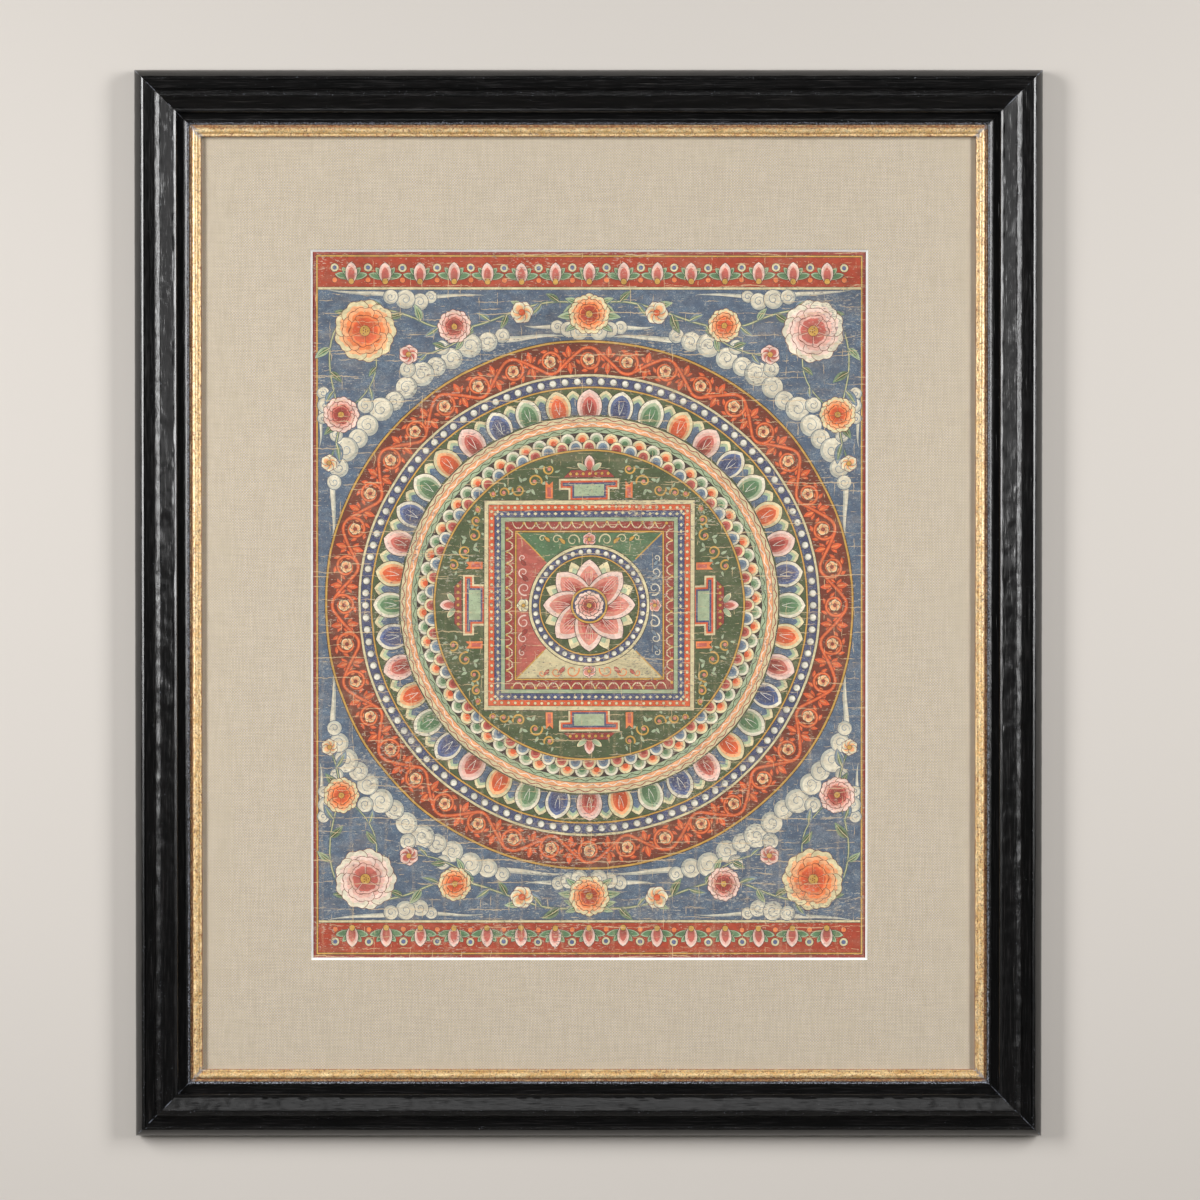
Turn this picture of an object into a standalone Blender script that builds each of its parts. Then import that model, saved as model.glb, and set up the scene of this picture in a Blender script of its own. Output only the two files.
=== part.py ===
"""Framed and matted thangka painting: painted cotton behind a linen-faced mat,
in a gilt slip and an ebonised moulding, ready to hang flat on a wall.

Units are metres, +Z is up and the picture faces -Y. The origin is the middle of
the top rail's flat back, where the frame meets the wall. Sections are drawn with
two distances: "inset", from the frame's outer edge towards the picture, and
"depth", from the wall towards the viewer.
"""
import math

import bmesh
import bpy

MM = 0.001

# Driving sizes
OUTER_WIDTH = 755 * MM
OUTER_HEIGHT = 887 * MM
RAIL_WIDTH = 47 * MM
SLIP_SHOWS = 10.2 * MM
RABBET_WIDTH = 7 * MM
WINDOW_WIDTH = 462 * MM
WINDOW_HEIGHT = 589.4 * MM
WINDOW_RIGHT = 0.6 * MM  # the mat was cut by hand, so its window is a little off centre
WINDOW_DOWN = 1.2 * MM
PAINTING_OVERLAP = 18 * MM  # of cotton hidden behind the mat on each side
GAP = 0.3 * MM  # between pieces that touch
BOARD_CLEARANCE = 0.6 * MM  # round the boards in the rabbet

# Thicknesses, from the wall forward
BACKING_SET_IN = 1.0 * MM
BACKING_THICK = 4.0 * MM
COTTON_THICK = 1.0 * MM
CORE_THICK = 1.4 * MM
LINEN_THICK = 1.0 * MM

# Moulding section
ARRIS_INSET = 8.7 * MM
ARRIS_DEPTH = 18.0 * MM
CREST_INSET = 22.0 * MM
CREST_DEPTH = 25.5 * MM
SLOPE_END_INSET = 34.2 * MM
SLOPE_END_DEPTH = 20.4 * MM
BEAD_RADIUS = 1.2 * MM
LIP_INSET = 44.6 * MM
LIP_DEPTH = 15.0 * MM
LIP_BACK = 12.3 * MM
ARC_STEPS = 6

# Depths worked out from the stack
BACKING_FRONT = BACKING_SET_IN + BACKING_THICK
COTTON_BACK = BACKING_FRONT + GAP
COTTON_FRONT = COTTON_BACK + COTTON_THICK
CORE_BACK = COTTON_FRONT + GAP
CORE_FRONT = CORE_BACK + CORE_THICK
LINEN_BACK = CORE_FRONT + GAP
LINEN_FRONT = LINEN_BACK + LINEN_THICK
SLIP_BACK = LINEN_FRONT + GAP

# Frame edges and centre in world coordinates
BACK_FACE_WIDTH = RAIL_WIDTH - RABBET_WIDTH
TOP = BACK_FACE_WIDTH / 2
CENTRE_Z = TOP - OUTER_HEIGHT / 2


def fresh_scene():
    for old in list(bpy.data.objects):
        bpy.data.objects.remove(old, do_unlink=True)


def material(name, colour, roughness, metallic=0.0):
    made = bpy.data.materials.new(name)
    made.use_nodes = True
    shader = made.node_tree.nodes["Principled BSDF"]
    shader.inputs["Base Color"].default_value = (*colour, 1.0)
    shader.inputs["Roughness"].default_value = roughness
    shader.inputs["Metallic"].default_value = metallic
    return made


def arc(centre, radius, start, end, steps=ARC_STEPS):
    """Points (inset, depth) round a centre, between two angles in degrees."""
    points = []
    for step in range(steps + 1):
        angle = math.radians(start + (end - start) * step / steps)
        points.append(
            (centre[0] + radius * math.cos(angle), centre[1] + radius * math.sin(angle))
        )
    return points


def rise(start, end, bend, steps=ARC_STEPS):
    """Points between two profile points: bend above 1 leaves the start flat, below 1 leaves it steep."""
    points = []
    for step in range(1, steps):
        along = step / steps
        points.append(
            (
                start[0] + (end[0] - start[0]) * along,
                start[1] + (end[1] - start[1]) * along**bend,
            )
        )
    return points


def rail_profile():
    """The moulding's section, from the wall round the front to the rabbet."""
    side_foot = 2.0 * MM
    arris_radius = 0.7 * MM
    channel_end = (ARRIS_INSET + 1.4 * MM, ARRIS_DEPTH - 0.8 * MM)
    crest_radius = 2.2 * MM
    crest_foot = (CREST_INSET - crest_radius, CREST_DEPTH - crest_radius)
    crest_centre = (CREST_INSET, CREST_DEPTH - crest_radius)
    slope_end = (SLOPE_END_INSET, SLOPE_END_DEPTH)
    bead_centre = (SLOPE_END_INSET + BEAD_RADIUS + 0.3 * MM, SLOPE_END_DEPTH - 0.3 * MM)
    cove_start = (bead_centre[0] + BEAD_RADIUS + 0.4 * MM, bead_centre[1] - 0.4 * MM)
    lip = (LIP_INSET, LIP_DEPTH)
    lip_radius = 1.2 * MM
    inner_edge = RAIL_WIDTH
    points = [(0.0, 0.0), (0.0, side_foot)]
    points += arc((ARRIS_INSET, ARRIS_DEPTH - arris_radius), arris_radius, 150, 30)
    points += [channel_end]
    points += rise(channel_end, crest_foot, 2.4)
    points += arc(crest_centre, crest_radius, 180, 62)
    points += rise(points[-1], slope_end, 0.9)
    points += [slope_end]
    points += arc(bead_centre, BEAD_RADIUS, 170, 10)
    points += [cove_start]
    points += rise(cove_start, lip, 0.55)
    points += arc((inner_edge - lip_radius, LIP_DEPTH - lip_radius), lip_radius, 110, 0, 4)
    points += [(inner_edge, LIP_BACK), (BACK_FACE_WIDTH, LIP_BACK), (BACK_FACE_WIDTH, 0.0)]
    return points


def slip_profile():
    """The gilt slip's section: a hidden flange, a hollow, a rounded bead and an inner fillet."""
    outer = BACK_FACE_WIDTH + BOARD_CLEARANCE
    sight = RAIL_WIDTH + SLIP_SHOWS
    flange_front = LIP_BACK - GAP
    hollow_inset = RAIL_WIDTH + 2.2 * MM
    bead_radius = 3.0 * MM
    bead_centre = (hollow_inset + bead_radius, flange_front + 0.1 * MM)
    fillet_front = flange_front + 0.6 * MM
    points = [(outer, SLIP_BACK), (outer, flange_front), (hollow_inset - 0.4 * MM, flange_front)]
    points += arc(bead_centre, bead_radius, 175, 12, 8)
    points += [
        (bead_centre[0] + bead_radius + 0.5 * MM, fillet_front),
        (sight - 0.3 * MM, fillet_front),
        (sight, fillet_front - 0.4 * MM),
        (sight, SLIP_BACK),
    ]
    return points


SIDES = {  # name: (turn about +Y in degrees, whether it spans the frame's width)
    "top": (0, True),
    "right": (90, False),
    "bottom": (180, True),
    "left": (270, False),
}


def mitred_bar(kind, side, profile, finish, parent):
    """One bar of the frame, cut at 45 degrees at both ends.

    It is drawn as a top bar hanging below its own origin, then turned to its side.
    """
    turn, spans_width = SIDES[side]
    half_length = (OUTER_WIDTH if spans_width else OUTER_HEIGHT) / 2
    half_across = (OUTER_HEIGHT if spans_width else OUTER_WIDTH) / 2
    mitre_gap = GAP / 2 * math.sqrt(2)
    shape = bmesh.new()
    ends = []
    for end in (-1, 1):
        ends.append(
            [
                shape.verts.new((end * (half_length - inset - mitre_gap), -depth, -inset))
                for inset, depth in profile
            ]
        )
    count = len(profile)
    for here in range(count):
        there = (here + 1) % count
        shape.faces.new((ends[0][here], ends[0][there], ends[1][there], ends[1][here]))
    shape.faces.new(ends[0])
    shape.faces.new(ends[1])
    bmesh.ops.recalc_face_normals(shape, faces=shape.faces)
    bar = finished(f"{kind}_{side}", shape, finish, parent)
    angle = math.radians(turn)
    bar.rotation_euler = (0, angle, 0)
    bar.location = (half_across * math.sin(angle), 0, half_across * math.cos(angle))
    return bar


def finished(name, shape, finish, parent):
    """Turns a bmesh into a named object with its material, under the frame's centre."""
    mesh = bpy.data.meshes.new(name)
    shape.to_mesh(mesh)
    shape.free()
    mesh.materials.append(finish)
    made = bpy.data.objects.new(name, mesh)
    bpy.context.scene.collection.objects.link(made)
    made.parent = parent
    return made


def rectangle(shape, width, height, depth, right=0.0, down=0.0):
    """Four corners, anticlockwise as the viewer sees them."""
    return [
        shape.verts.new((right + x * width / 2, -depth, z * height / 2 - down))
        for x, z in ((-1, -1), (1, -1), (1, 1), (-1, 1))
    ]


def board(name, width, height, back, front, finish, parent, right=0.0, down=0.0):
    """A plain flat sheet."""
    shape = bmesh.new()
    rear = rectangle(shape, width, height, back, right, down)
    face = rectangle(shape, width, height, front, right, down)
    shape.faces.new(face)
    shape.faces.new(reversed(rear))
    join_loops(shape, rear, face)
    bmesh.ops.recalc_face_normals(shape, faces=shape.faces)
    return finished(name, shape, finish, parent)


def window_board(name, width, height, back, front, bevel, finish, parent):
    """A flat sheet with a window, whose edge leans inwards by bevel towards the back."""
    shape = bmesh.new()
    place = (WINDOW_RIGHT, WINDOW_DOWN)
    loops = [
        rectangle(shape, width, height, back),
        rectangle(shape, width, height, front),
        rectangle(shape, WINDOW_WIDTH, WINDOW_HEIGHT, front, *place),
        rectangle(shape, WINDOW_WIDTH - 2 * bevel, WINDOW_HEIGHT - 2 * bevel, back, *place),
    ]
    for here in range(4):
        join_loops(shape, loops[here], loops[(here + 1) % 4])
    bmesh.ops.recalc_face_normals(shape, faces=shape.faces)
    return finished(name, shape, finish, parent)


def join_loops(shape, first, second):
    """Four-sided faces between two loops of four corners."""
    for here in range(4):
        there = (here + 1) % 4
        shape.faces.new((first[here], first[there], second[there], second[here]))


def build():
    fresh_scene()
    centre = bpy.data.objects.new("frame_centre", None)
    centre.location = (0, 0, CENTRE_Z)
    bpy.context.scene.collection.objects.link(centre)

    ebonised = material("ebonised_wood", (0.012, 0.011, 0.010), 0.36)
    gilt = material("gilt", (0.62, 0.40, 0.15), 0.38, 1.0)
    linen = material("linen", (0.60, 0.52, 0.41), 0.9)
    core = material("mat_core", (0.88, 0.87, 0.83), 0.85)
    paint = material("painted_cotton", (0.34, 0.20, 0.15), 0.85)
    plain_board = material("backing_board", (0.36, 0.27, 0.18), 0.9)

    for side in SIDES:
        mitred_bar("rail", side, rail_profile(), ebonised, centre)
        mitred_bar("slip", side, slip_profile(), gilt, centre)

    board_width = OUTER_WIDTH - 2 * (BACK_FACE_WIDTH + BOARD_CLEARANCE)
    board_height = OUTER_HEIGHT - 2 * (BACK_FACE_WIDTH + BOARD_CLEARANCE)
    size = (board_width, board_height)
    window_board("mat_linen", *size, LINEN_BACK, LINEN_FRONT, 0.0, linen, centre)
    window_board("mat_core", *size, CORE_BACK, CORE_FRONT, CORE_THICK, core, centre)
    board(
        "thangka",
        WINDOW_WIDTH + 2 * PAINTING_OVERLAP,
        WINDOW_HEIGHT + 2 * PAINTING_OVERLAP,
        COTTON_BACK,
        COTTON_FRONT,
        paint,
        centre,
        WINDOW_RIGHT,
        WINDOW_DOWN,
    )
    board("backing_board", *size, BACKING_SET_IN, BACKING_FRONT, plain_board, centre)


build()
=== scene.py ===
"""A painted cotton thangka under a linen-faced mat, in a gilt slip and a black wooden frame.

Sizes are metres unless a name ends in _mm. +Z is up, the wall is the plane y = 0 and the
picture faces -Y. "Depth" is a distance from the wall towards the viewer, and "inset" one
from the frame's outer edge towards the picture.
"""
import math
import random

import bpy
import numpy as np
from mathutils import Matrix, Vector, noise
from mathutils.geometry import delaunay_2d_cdt


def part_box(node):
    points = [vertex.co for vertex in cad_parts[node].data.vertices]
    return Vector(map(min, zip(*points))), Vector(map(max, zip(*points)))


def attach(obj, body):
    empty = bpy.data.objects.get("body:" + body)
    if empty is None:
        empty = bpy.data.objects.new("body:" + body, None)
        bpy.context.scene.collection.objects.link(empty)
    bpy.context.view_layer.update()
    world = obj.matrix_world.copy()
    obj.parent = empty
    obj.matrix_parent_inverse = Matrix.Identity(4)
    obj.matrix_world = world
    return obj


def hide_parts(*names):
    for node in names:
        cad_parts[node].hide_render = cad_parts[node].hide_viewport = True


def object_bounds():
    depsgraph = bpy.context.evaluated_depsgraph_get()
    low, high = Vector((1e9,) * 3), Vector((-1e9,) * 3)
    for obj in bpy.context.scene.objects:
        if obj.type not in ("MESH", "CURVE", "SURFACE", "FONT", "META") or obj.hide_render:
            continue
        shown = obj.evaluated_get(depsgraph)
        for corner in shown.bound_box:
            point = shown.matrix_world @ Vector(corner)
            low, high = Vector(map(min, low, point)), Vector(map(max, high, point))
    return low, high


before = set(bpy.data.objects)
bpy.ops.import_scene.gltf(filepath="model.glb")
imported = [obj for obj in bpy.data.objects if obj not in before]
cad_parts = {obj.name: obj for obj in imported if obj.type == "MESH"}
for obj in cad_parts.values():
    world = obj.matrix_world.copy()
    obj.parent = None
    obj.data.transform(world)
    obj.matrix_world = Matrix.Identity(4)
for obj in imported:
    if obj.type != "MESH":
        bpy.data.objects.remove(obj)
cad_box = [list(corner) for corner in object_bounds()]
MM = 0.001

# ---- Painted cotton ------------------------------------------------------------------------
# The thangka is a sheet of cotton, sized with glue and chalk, and painted with ground mineral
# colours. It was rolled for years, so the paint is cracked across and rubbed. The design here
# is a lotus mandala, drawn as a painter lays it down: each shape covers what came before it.

low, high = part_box("thangka")
cotton_middle = (low + high) / 2
COTTON_MM = (498.0, 625.4)

PIGMENTS = {
    "slate": (74, 101, 127),
    "slate_deep": (52, 76, 104),
    "slate_pale": (120, 143, 158),
    "cloud": (226, 217, 193),
    "cloud_shade": (186, 186, 172),
    "cream": (222, 208, 164),
    "orange": (214, 88, 48),
    "orange_light": (233, 128, 74),
    "orange_deep": (172, 60, 38),
    "red_brown": (112, 46, 34),
    "dark_red": (152, 58, 54),
    "salmon": (190, 95, 85),
    "salmon_light": (212, 132, 116),
    "pink": (225, 175, 160),
    "pink_pale": (236, 205, 190),
    "peach": (240, 170, 120),
    "sage": (162, 178, 144),
    "sage_deep": (112, 136, 104),
    "green": (86, 124, 88),
    "dark_green": (70, 88, 58),
    "navy": (42, 56, 108),
    "navy_light": (84, 102, 150),
    "ink": (48, 38, 40),
    "gold": (206, 158, 74),
    "white": (236, 230, 214),
}


def linear(red, green, blue):
    """A colour as it looks on a screen, from 0 to 255, in the renderer's own units."""
    parts = [c / 255 for c in (red, green, blue)]
    return tuple(c / 12.92 if c <= 0.04045 else ((c + 0.055) / 1.055) ** 2.4 for c in parts)


chance = random.Random(11)
noise.seed_set(11)
strokes = []  # outline in mm from the middle of the sheet, pigment, lightness, fade, foot and tip


def paint(outline, pigment, where=None, fade=0.0):
    """Lays down one shape. It grows darker towards its foot and lighter towards its tip by fade."""
    outline = np.asarray(outline, float)
    x, y = outline.T
    ends = np.array([(x.mean(), y.min()), (x.mean(), y.max())])
    if where is not None:
        outline, ends = where(outline), where(ends)
    strokes.append((outline, pigment, 1 + 0.07 * chance.uniform(-1, 1), fade, *ends))


def grown(outline, by):
    """The outline moved outwards."""
    outline = np.asarray(outline, float)
    after = np.roll(outline, -1, 0) - outline
    after /= np.linalg.norm(after, axis=1, keepdims=True)
    along = after + np.roll(after, 1, 0)
    along /= np.maximum(np.linalg.norm(along, axis=1, keepdims=True), 1e-6)
    x, y = outline.T
    area = np.sum(x * np.roll(y, -1) - np.roll(x, -1) * y)
    return outline + np.stack([along[:, 1], -along[:, 0]], 1) * by * np.sign(area)


def inked(outline, pigment, where=None, line=0.55, ink="ink", fade=0.0):
    paint(grown(outline, line), ink, where)
    paint(outline, pigment, where, fade)


def disc(x, y, radius, count=16):
    turn = np.arange(count) / count * 2 * np.pi
    return np.stack([x + radius * np.cos(turn), y + radius * np.sin(turn)], 1)


def ribbon(path, start, middle, end):
    """A brush line along a path, with its width at three places."""
    path = np.asarray(path, float)
    t = np.linspace(0, 1, len(path))
    width = (1 - t) ** 2 * start + 2 * t * (1 - t) * middle + t**2 * end
    along = np.gradient(path, axis=0)
    along /= np.linalg.norm(along, axis=1, keepdims=True)
    side = np.stack([-along[:, 1], along[:, 0]], 1) * width[:, None] / 2
    return np.concatenate([path + side, (path - side)[::-1]])


def spiral(x, y, outer, inner, start, end, count=24):
    t = np.linspace(0, 1, count)
    angle = np.radians(start + (end - start) * t)
    reach = outer + (inner - outer) * t**0.8
    return np.stack([x + reach * np.cos(angle), y + reach * np.sin(angle)], 1)


def bezier(a, b, c, d, count=8):
    t = np.linspace(0, 1, count)[:, None]
    a, b, c, d = (np.asarray(p, float) for p in (a, b, c, d))
    return (1 - t) ** 3 * a + 3 * t * (1 - t) ** 2 * b + 3 * t**2 * (1 - t) * c + t**3 * d


def petal(length, width, foot=0.25):
    """A pointed petal that grows from (0, 0) along +y."""
    half = width / 2
    count = int(min(12, 4 + length * 0.28))
    foot_x = -half * foot * 2
    belly, shoulder = (-half * 1.15, length * 0.3), (-half * 1.05, length * 0.82)
    left = bezier((foot_x, 0), belly, shoulder, (0, length), count)
    return np.concatenate([left, (left * (-1, 1))[::-1][1:]])


def leaf(length, width, curl=0.0):
    """A leaf that grows along +y and bends to one side by curl."""
    t = np.linspace(0, 1, int(min(11, 4 + length * 0.42)))
    half = width / 2 * np.sin(np.pi * t**0.8) ** 0.9
    middle = np.stack([curl * length * t**2, length * t], 1)
    along = np.gradient(middle, axis=0)
    along /= np.linalg.norm(along, axis=1, keepdims=True)
    side = np.stack([-along[:, 1], along[:, 0]], 1) * half[:, None]
    return np.concatenate([middle + side, (middle - side)[::-1][1:-1]])


def put(x, y, turn=0.0, scale=1.0, flip=1.0, then=None):
    """Places a motif: mirrored by flip, then scaled, turned by degrees and moved."""
    c, s = math.cos(math.radians(turn)), math.sin(math.radians(turn))

    def where(points):
        px, py = points[:, 0] * scale * flip, points[:, 1] * scale
        out = np.stack([x + px * c - py * s, y + px * s + py * c], 1)
        return then(out) if then else out

    return where


def mirrored(across, over):
    """Turns the design round its middle lines, where a sign is -1."""

    def where(points):
        return points * (across, over)

    return where


def halves(at):
    """A place and its mirror image."""
    return [put(0, 0, flip=flip, then=at) for flip in (1, -1)]


def bent(radius, turn=0.0, flip=1.0):
    """Bends a strip, x along it and y outwards, onto a circle round the middle."""

    def where(points):
        angle = turn + points[:, 0] / radius
        reach = radius + points[:, 1] * flip
        return np.stack([reach * np.sin(angle), reach * np.cos(angle)], 1)

    return where


def ring(radius, count, shift=0.0):
    """Places round a circle, each with +y outwards."""
    return [bent(radius, 2 * math.pi * (k + shift) / count) for k in range(count)]


def shaded_petal(length, width, tones, where, line=0.5, ink="ink", foot=0.25):
    inked(petal(length, width, foot), tones[0], where, line, ink, 0.16)
    for step, tone in enumerate(tones[1:], 1):
        paint(petal(length * (1 - 0.13 * step), width * (1 - 0.2 * step), foot), tone, where, 0.30)


def blossom(where, radius, count, tones, eye="gold", ink="ink"):
    width = radius * 2.2 * math.sin(math.pi / count) * 1.15
    for k in range(count):
        shaded_petal(radius, width, tones, put(0, 0, 360 / count * k, then=where), 0.4, ink, 0.15)
    inked(disc(0, 0, radius * 0.27, 10), eye, where, 0.35, ink)


def peony(where, radius, tones, ink="red_brown"):
    """Three rows of lobed petals round a gold eye."""
    for row, (reach, count) in enumerate(((1.0, 9), (0.74, 7), (0.48, 5))):
        t = np.linspace(-1, 1, 15 if radius > 18 else 13)
        half = radius * reach * math.sin(math.pi / count) * 1.4
        lobes = 0.95 + 0.09 * np.abs(np.cos(t * np.pi * 1.5))
        out = radius * reach * (0.6 + 0.4 * np.cos(t * 1.3)) * lobes
        foot = [(half * 0.3, radius * 0.1), (-half * 0.3, radius * 0.1)]
        shape = np.concatenate([np.stack([half * np.sin(t * 1.45), out], 1), foot])
        for k in range(count):
            around = put(0, 0, 360 / count * (k + 0.5 * row), then=where)
            inked(shape, tones[row][0], around, 0.45, ink, 0.15)
            paint(shape * (0.74, 0.84) + (0, radius * reach * 0.02), tones[row][1], around, 0.28)
    inked(disc(0, 0, radius * 0.17, 12), "gold", where, 0.4, ink)
    for k in range(6):
        reach = radius * 0.1 * (0.4 + 0.6 * (k % 2))
        paint(disc(reach * math.cos(k), reach * math.sin(k), radius * 0.025, 5), ink, where)


def rectangle(half_width, half_height=None, middle=0.0):
    a, b = half_width, half_width if half_height is None else half_height
    return [(-a, middle - b), (a, middle - b), (a, middle + b), (-a, middle + b)]


def rounds(*bands):
    """Discs laid one on another, each smaller than the last, so that their rims show as rings."""
    for radius, pigment in bands:
        paint(disc(0, 0, radius, max(48, int(radius * math.pi / 2))), pigment)


# The ground and the two lotus friezes
LOTUS, LEAVES = ("pink_pale", "pink", "salmon"), ("sage", "green")
for outline, pigment in (
    (rectangle(COTTON_MM[0] / 2, COTTON_MM[1] / 2), "dark_red"),
    (rectangle(227.5, 291.0), "ink"),
    (rectangle(227.0, 290.5), "gold"),
    (rectangle(225.8, 289.3), "ink"),
    (rectangle(225.4, 288.9), "orange_deep"),
):
    paint(outline, pigment)
FRIEZE_UNIT = 28.2
for side in (0, 180):
    for k in range(-8, 8):
        at = put(0, 0, side)
        x = FRIEZE_UNIT * (k + 0.5)
        inked(disc(x, 280.1, 3.4, 12), "cream", at, 0.4)
        paint(disc(x, 280.1, 1.9, 10), "navy_light", at)
        inked(disc(x, 269.9, 2.2, 10), "orange_light", at, 0.4)
        if k == -8:
            continue
        flower = put(k * FRIEZE_UNIT, 276.5, then=at)
        for half in halves(flower):
            shaded_petal(12.5, 6.0, LEAVES, put(1.5, -4.5, -78, then=half), 0.4)
            shaded_petal(9.5, 5.0, LEAVES, put(1.5, -3.5, -42, then=half), 0.4)
        shaded_petal(15.5, 11.0, LOTUS, put(0, -7.5, then=flower), 0.45)
        inked(disc(0, -7.8, 2.4, 10), "gold", flower, 0.4)
for half_height, pigment in ((264.5, "ink"), (264.0, "cream"), (262.2, "ink"), (261.8, "slate")):
    paint(rectangle(225.4, half_height), pigment)


# The sky in the four corners: clouds, then peonies on their stems
def cloud_lobe(where, x, y, r, start=200, sense=-1):
    """One swirl of a cloud: a pale round with a shaded rim and a curling line."""
    count = int(12 + r)
    inked(disc(x, y, r, count), "cloud_shade", where, 0.5, "slate_deep")
    paint(disc(x - 0.1 * r * sense, y + 0.1 * r, r * 0.86, count), "cloud", where, 0.10)
    swirl = spiral(x, y, r * 0.7, r * 0.12, start, start + sense * 430, int(14 + r))
    paint(ribbon(swirl, 0.3, 0.8, 0.4), "slate_pale", where)


def wisp(where, x, y, turn, length, width, bend):
    """A cloud's tail, drawn out to a point."""
    at = put(x, y, turn, then=where)
    path = bezier((0, 0), (length * 0.3, bend), (length * 0.65, -bend), (length, bend * 0.4), 12)
    inked(ribbon(path, width, width * 0.9, 0.2), "cloud_shade", at, 0.45, "slate_deep")
    paint(ribbon(path[:-2] + (0, width * 0.1), width * 0.7, width * 0.5, 0.2), "cloud", at)


def heading(path, t):
    """The way a path goes at one of its points, as a turn from +y."""
    ahead = path[t + 1] - path[t]
    return math.degrees(math.atan2(ahead[1], ahead[0])) - 90


def sprig(where, x, y, turn, length, tones=LEAVES, curl=0.22):
    at = put(x, y, turn, then=where)
    inked(leaf(length, length * 0.42, curl), tones[0], at, 0.5, "slate_deep", 0.18)
    paint(leaf(length * 0.88, length * 0.2, curl), tones[1], at, 0.25)
    t = np.linspace(0, 0.86, 6)
    paint(ribbon(np.stack([curl * length * t**2, length * t], 1), 0.6, 0.5, 0.2), "cream", at)


def vine(where, path, width, leaf_length, first=2):
    """A stem with a leaf at every third point, on alternate sides."""
    paint(grown(ribbon(path, width, width, width * 0.7), 0.5), "slate_deep", where)
    paint(ribbon(path, width, width, width * 0.7), "sage_deep", where)
    paint(ribbon(path[1:-1], width * 0.3, width * 0.3, width * 0.2), "cream", where)
    greens = (LEAVES, ("sage_deep", "dark_green"), ("slate_pale", "sage_deep"))
    for number, t in enumerate(range(first, len(path) - 1, 3)):
        side = 1 if number % 2 else -1
        length = leaf_length * chance.uniform(0.82, 1.12)
        turn = heading(path, t) + side * chance.uniform(38, 62)
        sprig(where, *path[t], turn, length, greens[number % 3], 0.2 * side)


WARM = (("cream", "peach"), ("peach", "orange_light"), ("orange_light", "orange"))
PALE = (("cloud", "pink_pale"), ("pink_pale", "pink"), ("pink", "salmon"))
ROSE = (("pink_pale", "pink"), ("pink", "salmon_light"), ("salmon", "dark_red"))
WISPS = (  # x, y, turn, length, width, bend
    (76, 221, 177, 58, 5, 3),
    (213, 108, -91, 56, 5, 2.5),
    (150, 256, 178, 62, 4, 2),
    (160, 257, 4, 58, 4, 2),
    (222, 165, -88, 34, 3.4, 2),
)
LOBES = (  # x, y, radius, start of the swirl, and its sense
    *((72, 224, 6), (84, 219, 8), (99, 216, 10), (114, 205, 9, 180), (127, 198, 8, 150)),
    *((139, 192, 10, 150), (152, 181, 9, 140), (162, 170, 8, 120), (173, 163, 10, 110)),
    *((184, 149, 9, 100), (192, 138, 8, 80), (202, 129, 10, 60), (208, 114, 8, 40)),
    *((212, 102, 6, 20), (122, 214, 6, 160), (151, 196, 6.5, 130), (186, 166, 6.5, 90)),
    *((210, 141, 5.5, 60), (132, 256, 5, 20, 1), (141, 252, 7, 20, 1), (153, 254, 8, 20, 1)),
    *((165, 256, 6, 160, 1), (221, 176, 5, 100, 1), (219, 166, 6.5, 100, 1), (221, 155, 4.5, 100, 1)),
)
main_stem = np.concatenate(
    [
        bezier((0, 248), (50, 268), (92, 212), (140, 236), 30)[:-1],
        bezier((140, 236), (170, 250), (214, 256), (216, 206), 20)[:-1],
        bezier((216, 206), (216, 170), (198, 160), (215, 121), 17),
    ]
)
for flip in (1, -1):
    for over in (1, -1):
        where = mirrored(flip, over)
        large, small = (PALE, WARM) if flip * over > 0 else (WARM, ROSE)
        for tail in WISPS:
            wisp(where, *tail)
        for lobe in LOBES:
            cloud_lobe(where, *lobe)
        vine(where, main_stem, 2.0, 15.0)
        vine(where, bezier((186, 226), (170, 206), (176, 184), (196, 166), 12), 1.4, 12)
        vine(where, bezier((96, 228), (112, 216), (132, 206), (150, 207), 12), 1.4, 12)
        peony(put(186, 228, 12, then=where), 25, large)
        peony(put(206, 158, 50, then=where), 14.5, small)
        peony(put(112, 232, 33, then=where), 13.5, small)
        blossom(put(56, 243, 25, then=where), 9.5, 6, ("cloud", "cream", "peach"), "orange", "red_brown")
        blossom(put(150, 208, 5, then=where), 8.0, 6, LOTUS, "gold", "red_brown")
        blossom(put(216, 118, 5, then=where), 7.0, 6, ("cloud", "cream", "peach"), "gold", "red_brown")
        wisp(where, 24, 230, 2, 30, 4, 2)
        for x, y, r in ((26, 231, 5.5), (17, 229, 6.5), (8, 227, 7)):
            cloud_lobe(where, x, y, r)
        for x, y, turn, length in ((10, 240, -80, 16), (8, 250, -55, 13), (8, 234, -108, 13)):
            sprig(where, x, y, turn, length)
for over in (0, 180):
    at = put(0, 242, then=put(0, 0, over))
    peony(at, 16.5, (*WARM[:2], ("orange_light", "orange_deep")))

# The outer ring: a running scroll, whose branches curl outwards and inwards by turns
rounds((220.4, "ink"), (219.8, "gold"), (218.2, "ink"), (217.8, "red_brown"))
SCROLLS, SCROLL_RADIUS, CURL = 40, 204.2, 9.9
CURL_LEAVES = ((3, 6.2, -58), (7, 6.4, -52), (11, 6.4, -48), (15, 6.2, -48), (19, 6, 0), (23, 5, 0))
period = 2 * math.pi * SCROLL_RADIUS / SCROLLS
into_curl = (-CURL, -CURL * 0.5), (-CURL * 0.71, -CURL * 0.71)
before = bezier((-period / 2, 0), (-period * 0.42, -2.2), *into_curl, 6)
turn = np.radians(np.arange(240, 301, 15))
wave = np.concatenate([before, CURL * np.stack([np.cos(turn), np.sin(turn)], 1), (before * (-1, 1))[::-1]])
curl = spiral(0, 0, CURL, CURL * 0.44, 300, 700, 30)
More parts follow.
